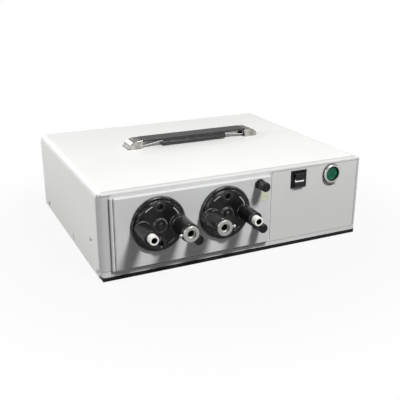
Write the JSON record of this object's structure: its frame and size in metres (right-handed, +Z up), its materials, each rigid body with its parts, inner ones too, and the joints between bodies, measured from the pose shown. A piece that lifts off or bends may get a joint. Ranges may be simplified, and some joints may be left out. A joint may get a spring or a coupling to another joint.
{
  "type": "fiber optic illuminator",
  "caption": "Bench light source in a low metal case, with light guide ports on indexing turrets set in a hinged door, knobs, a lit push button and a carrying handle.",
  "frame": {"origin": "on the bench under the middle of the whole object, which reaches from the front ends of its ports to the back of its case", "axes": "+X to the right as the front is looked at, the front faces -Y, +Z up"},
  "size_m": [0.4026, 0.379, 0.135],
  "materials": {
    "cover_white": "warm white fine-texture powder coat",
    "frame_grey": "silver grey satin paint",
    "door_grey": "silver grey satin paint",
    "panel_grey": "pale grey satin paint",
    "pan_black": "black satin paint",
    "turret_black": "black satin anodised look",
    "port_black": "black semi-gloss",
    "socket_black": "black gloss",
    "tip_white": "white satin moulding",
    "lock_chrome": "bright chrome",
    "steel_bright": "bright machine screws and nuts",
    "knob_black": "black semi-gloss knob",
    "shutter_steel": "dull steel shaft and vane",
    "bush_brass": "plated bushes",
    "switch_black": "black moulding",
    "rocker_black": "black gloss rocker",
    "ring_silver": "satin silver ring",
    "rubber_black": "black rubber",
    "lens_green": "translucent green lens",
    "contact_grey": "grey moulding",
    "cap_chrome": "bright end caps",
    "grip_black": "black soft grip",
    "strap_steel": "spring steel strip",
    "sheet_zinc": "zinc plated sheet",
    "rear_grey": "pale grey satin paint",
    "glass_clear": "clear optical glass",
    "lamp_ceramic": "pale ceramic lamp body",
    "sink_aluminium": "natural finned aluminium",
    "stand_insulator": "insulating board",
    "igniter_box": "potted module",
    "board_green": "circuit board",
    "standoff_brass": "hexagonal brass posts",
    "core_iron": "varnished laminations",
    "winding_copper": "varnished copper winding",
    "can_sleeve": "shrink sleeve",
    "fan_black": "black moulding",
    "guard_chrome": "plated wire",
    "inlet_black": "black moulding",
    "drawer_grey": "dark grey moulding",
    "stud_brass": "brass stud"
  },
  "bodies": {
    "casing": {"base_pan": "pan_black", "feet": "rubber_black", "top_cover": "cover_white", "case_screws": "steel_bright", "front_frame": "frame_grey", "corner_posts": "frame_grey", "control_panel": "panel_grey", "rear_panel": "rear_grey", "partition": "sheet_zinc", "hinge_leaf": "steel_bright", "power_switch": "switch_black", "button_ring": "ring_silver", "button_gasket": "rubber_black", "contact_block": "contact_grey", "handle_caps": "cap_chrome", "optic_holders": "sheet_zinc", "lamp_optics": "glass_clear", "lamps": "lamp_ceramic", "lamp_stands": "stand_insulator", "igniters": "igniter_box", "heat_sinks": "sink_aluminium", "supply_board": "board_green", "board_standoffs": "standoff_brass", "transformer_core": "core_iron", "transformer_winding": "winding_copper", "storage_capacitors": "can_sleeve", "fan_frames": "fan_black", "fan_guards": "guard_chrome", "mains_inlet": "inlet_black", "earth_stud": "stud_brass"},
    "door": {"turret_door": "door_grey", "door_fittings": "bush_brass"},
    "left_turret_unit": {"turret_left": "turret_black", "turret_fasteners_left": "steel_bright", "slim_port_left": "port_black", "slim_tip_left": "tip_white", "clamp_port_left": "port_black", "flush_sockets_left": "socket_black"},
    "right_turret_unit": {"turret_right": "turret_black", "turret_fasteners_right": "steel_bright", "slim_port_right": "port_black", "slim_tip_right": "tip_white", "clamp_port_right": "port_black", "flush_sockets_right": "socket_black"},
    "left_lock": {"lock_collar_left": "lock_chrome"},
    "right_lock": {"lock_collar_right": "lock_chrome"},
    "left_intensity": {"intensity_knob_left": "knob_black", "shutter_left": "shutter_steel"},
    "right_intensity": {"intensity_knob_right": "knob_black", "shutter_right": "shutter_steel"},
    "latch": {"latch_knob": "knob_black", "latch_pawl": "shutter_steel"},
    "rocker": {"switch_rocker": "rocker_black"},
    "button": {"button_lens": "lens_green"},
    "handle": {"handle_grip": "grip_black", "handle_strap": "strap_steel"},
    "left_fan": {"fan_impeller_left": "fan_black"},
    "right_fan": {"fan_impeller_right": "fan_black"},
    "drawer": {"fuse_drawer": "drawer_grey"}
  },
  "joints": [
    {"name": "door_swing", "type": "hinge", "parent": "casing", "child": "door", "pos_m": [-0.1834, -0.1349, 0.06575], "axis": [0, 0, -1], "range_deg": [0, 105]},
    {"name": "left_turret_turn", "type": "hinge", "parent": "door", "child": "left_turret_unit", "pos_m": [-0.123, -0.1325, 0.073], "axis": [0, -1, 0], "continuous": true},
    {"name": "right_turret_turn", "type": "hinge", "parent": "door", "child": "right_turret_unit", "pos_m": [-0.0275, -0.1325, 0.073], "axis": [0, -1, 0], "continuous": true},
    {"name": "left_lock_turn", "type": "hinge", "parent": "left_turret_unit", "child": "left_lock", "pos_m": [-0.0985, -0.1325, 0.073], "axis": [0, -1, 0], "range_deg": [0, 60]},
    {"name": "right_lock_turn", "type": "hinge", "parent": "right_turret_unit", "child": "right_lock", "pos_m": [-0.052, -0.1325, 0.073], "axis": [0, -1, 0], "range_deg": [0, 60]},
    {"name": "left_intensity_turn", "type": "hinge", "parent": "door", "child": "left_intensity", "pos_m": [-0.073, -0.1325, 0.047], "axis": [0, 1, 0], "range_deg": [0, 45]},
    {"name": "right_intensity_turn", "type": "hinge", "parent": "door", "child": "right_intensity", "pos_m": [0.023, -0.1325, 0.047], "axis": [0, 1, 0], "range_deg": [0, 45]},
    {"name": "latch_turn", "type": "hinge", "parent": "door", "child": "latch", "pos_m": [0.025, -0.1325, 0.106], "axis": [0, -1, 0], "range_deg": [0, 90]},
    {"name": "rocker_tilt", "type": "hinge", "parent": "casing", "child": "rocker", "pos_m": [0.092, -0.1291, 0.1018], "axis": [-1, 0, 0], "range_deg": [0, 16]},
    {"name": "button_press", "type": "slide", "parent": "casing", "child": "button", "axis": [0, 1, 0], "range_m": [0, 0.0015], "stiffness_N_per_m": 400},
    {"name": "handle_lift", "type": "slide", "parent": "casing", "child": "handle", "axis": [0, 0, 1], "range_m": [0, 0.0045]},
    {"name": "left_fan_spin", "type": "hinge", "parent": "casing", "child": "left_fan", "pos_m": [-0.122, 0.1695, 0.06], "axis": [0, 1, 0], "continuous": true},
    {"name": "right_fan_spin", "type": "hinge", "parent": "casing", "child": "right_fan", "pos_m": [-0.022, 0.1695, 0.06], "axis": [0, 1, 0], "continuous": true},
    {"name": "drawer_pull", "type": "slide", "parent": "casing", "child": "drawer", "axis": [0, 1, 0], "range_m": [0, 0.015]}
  ]
}
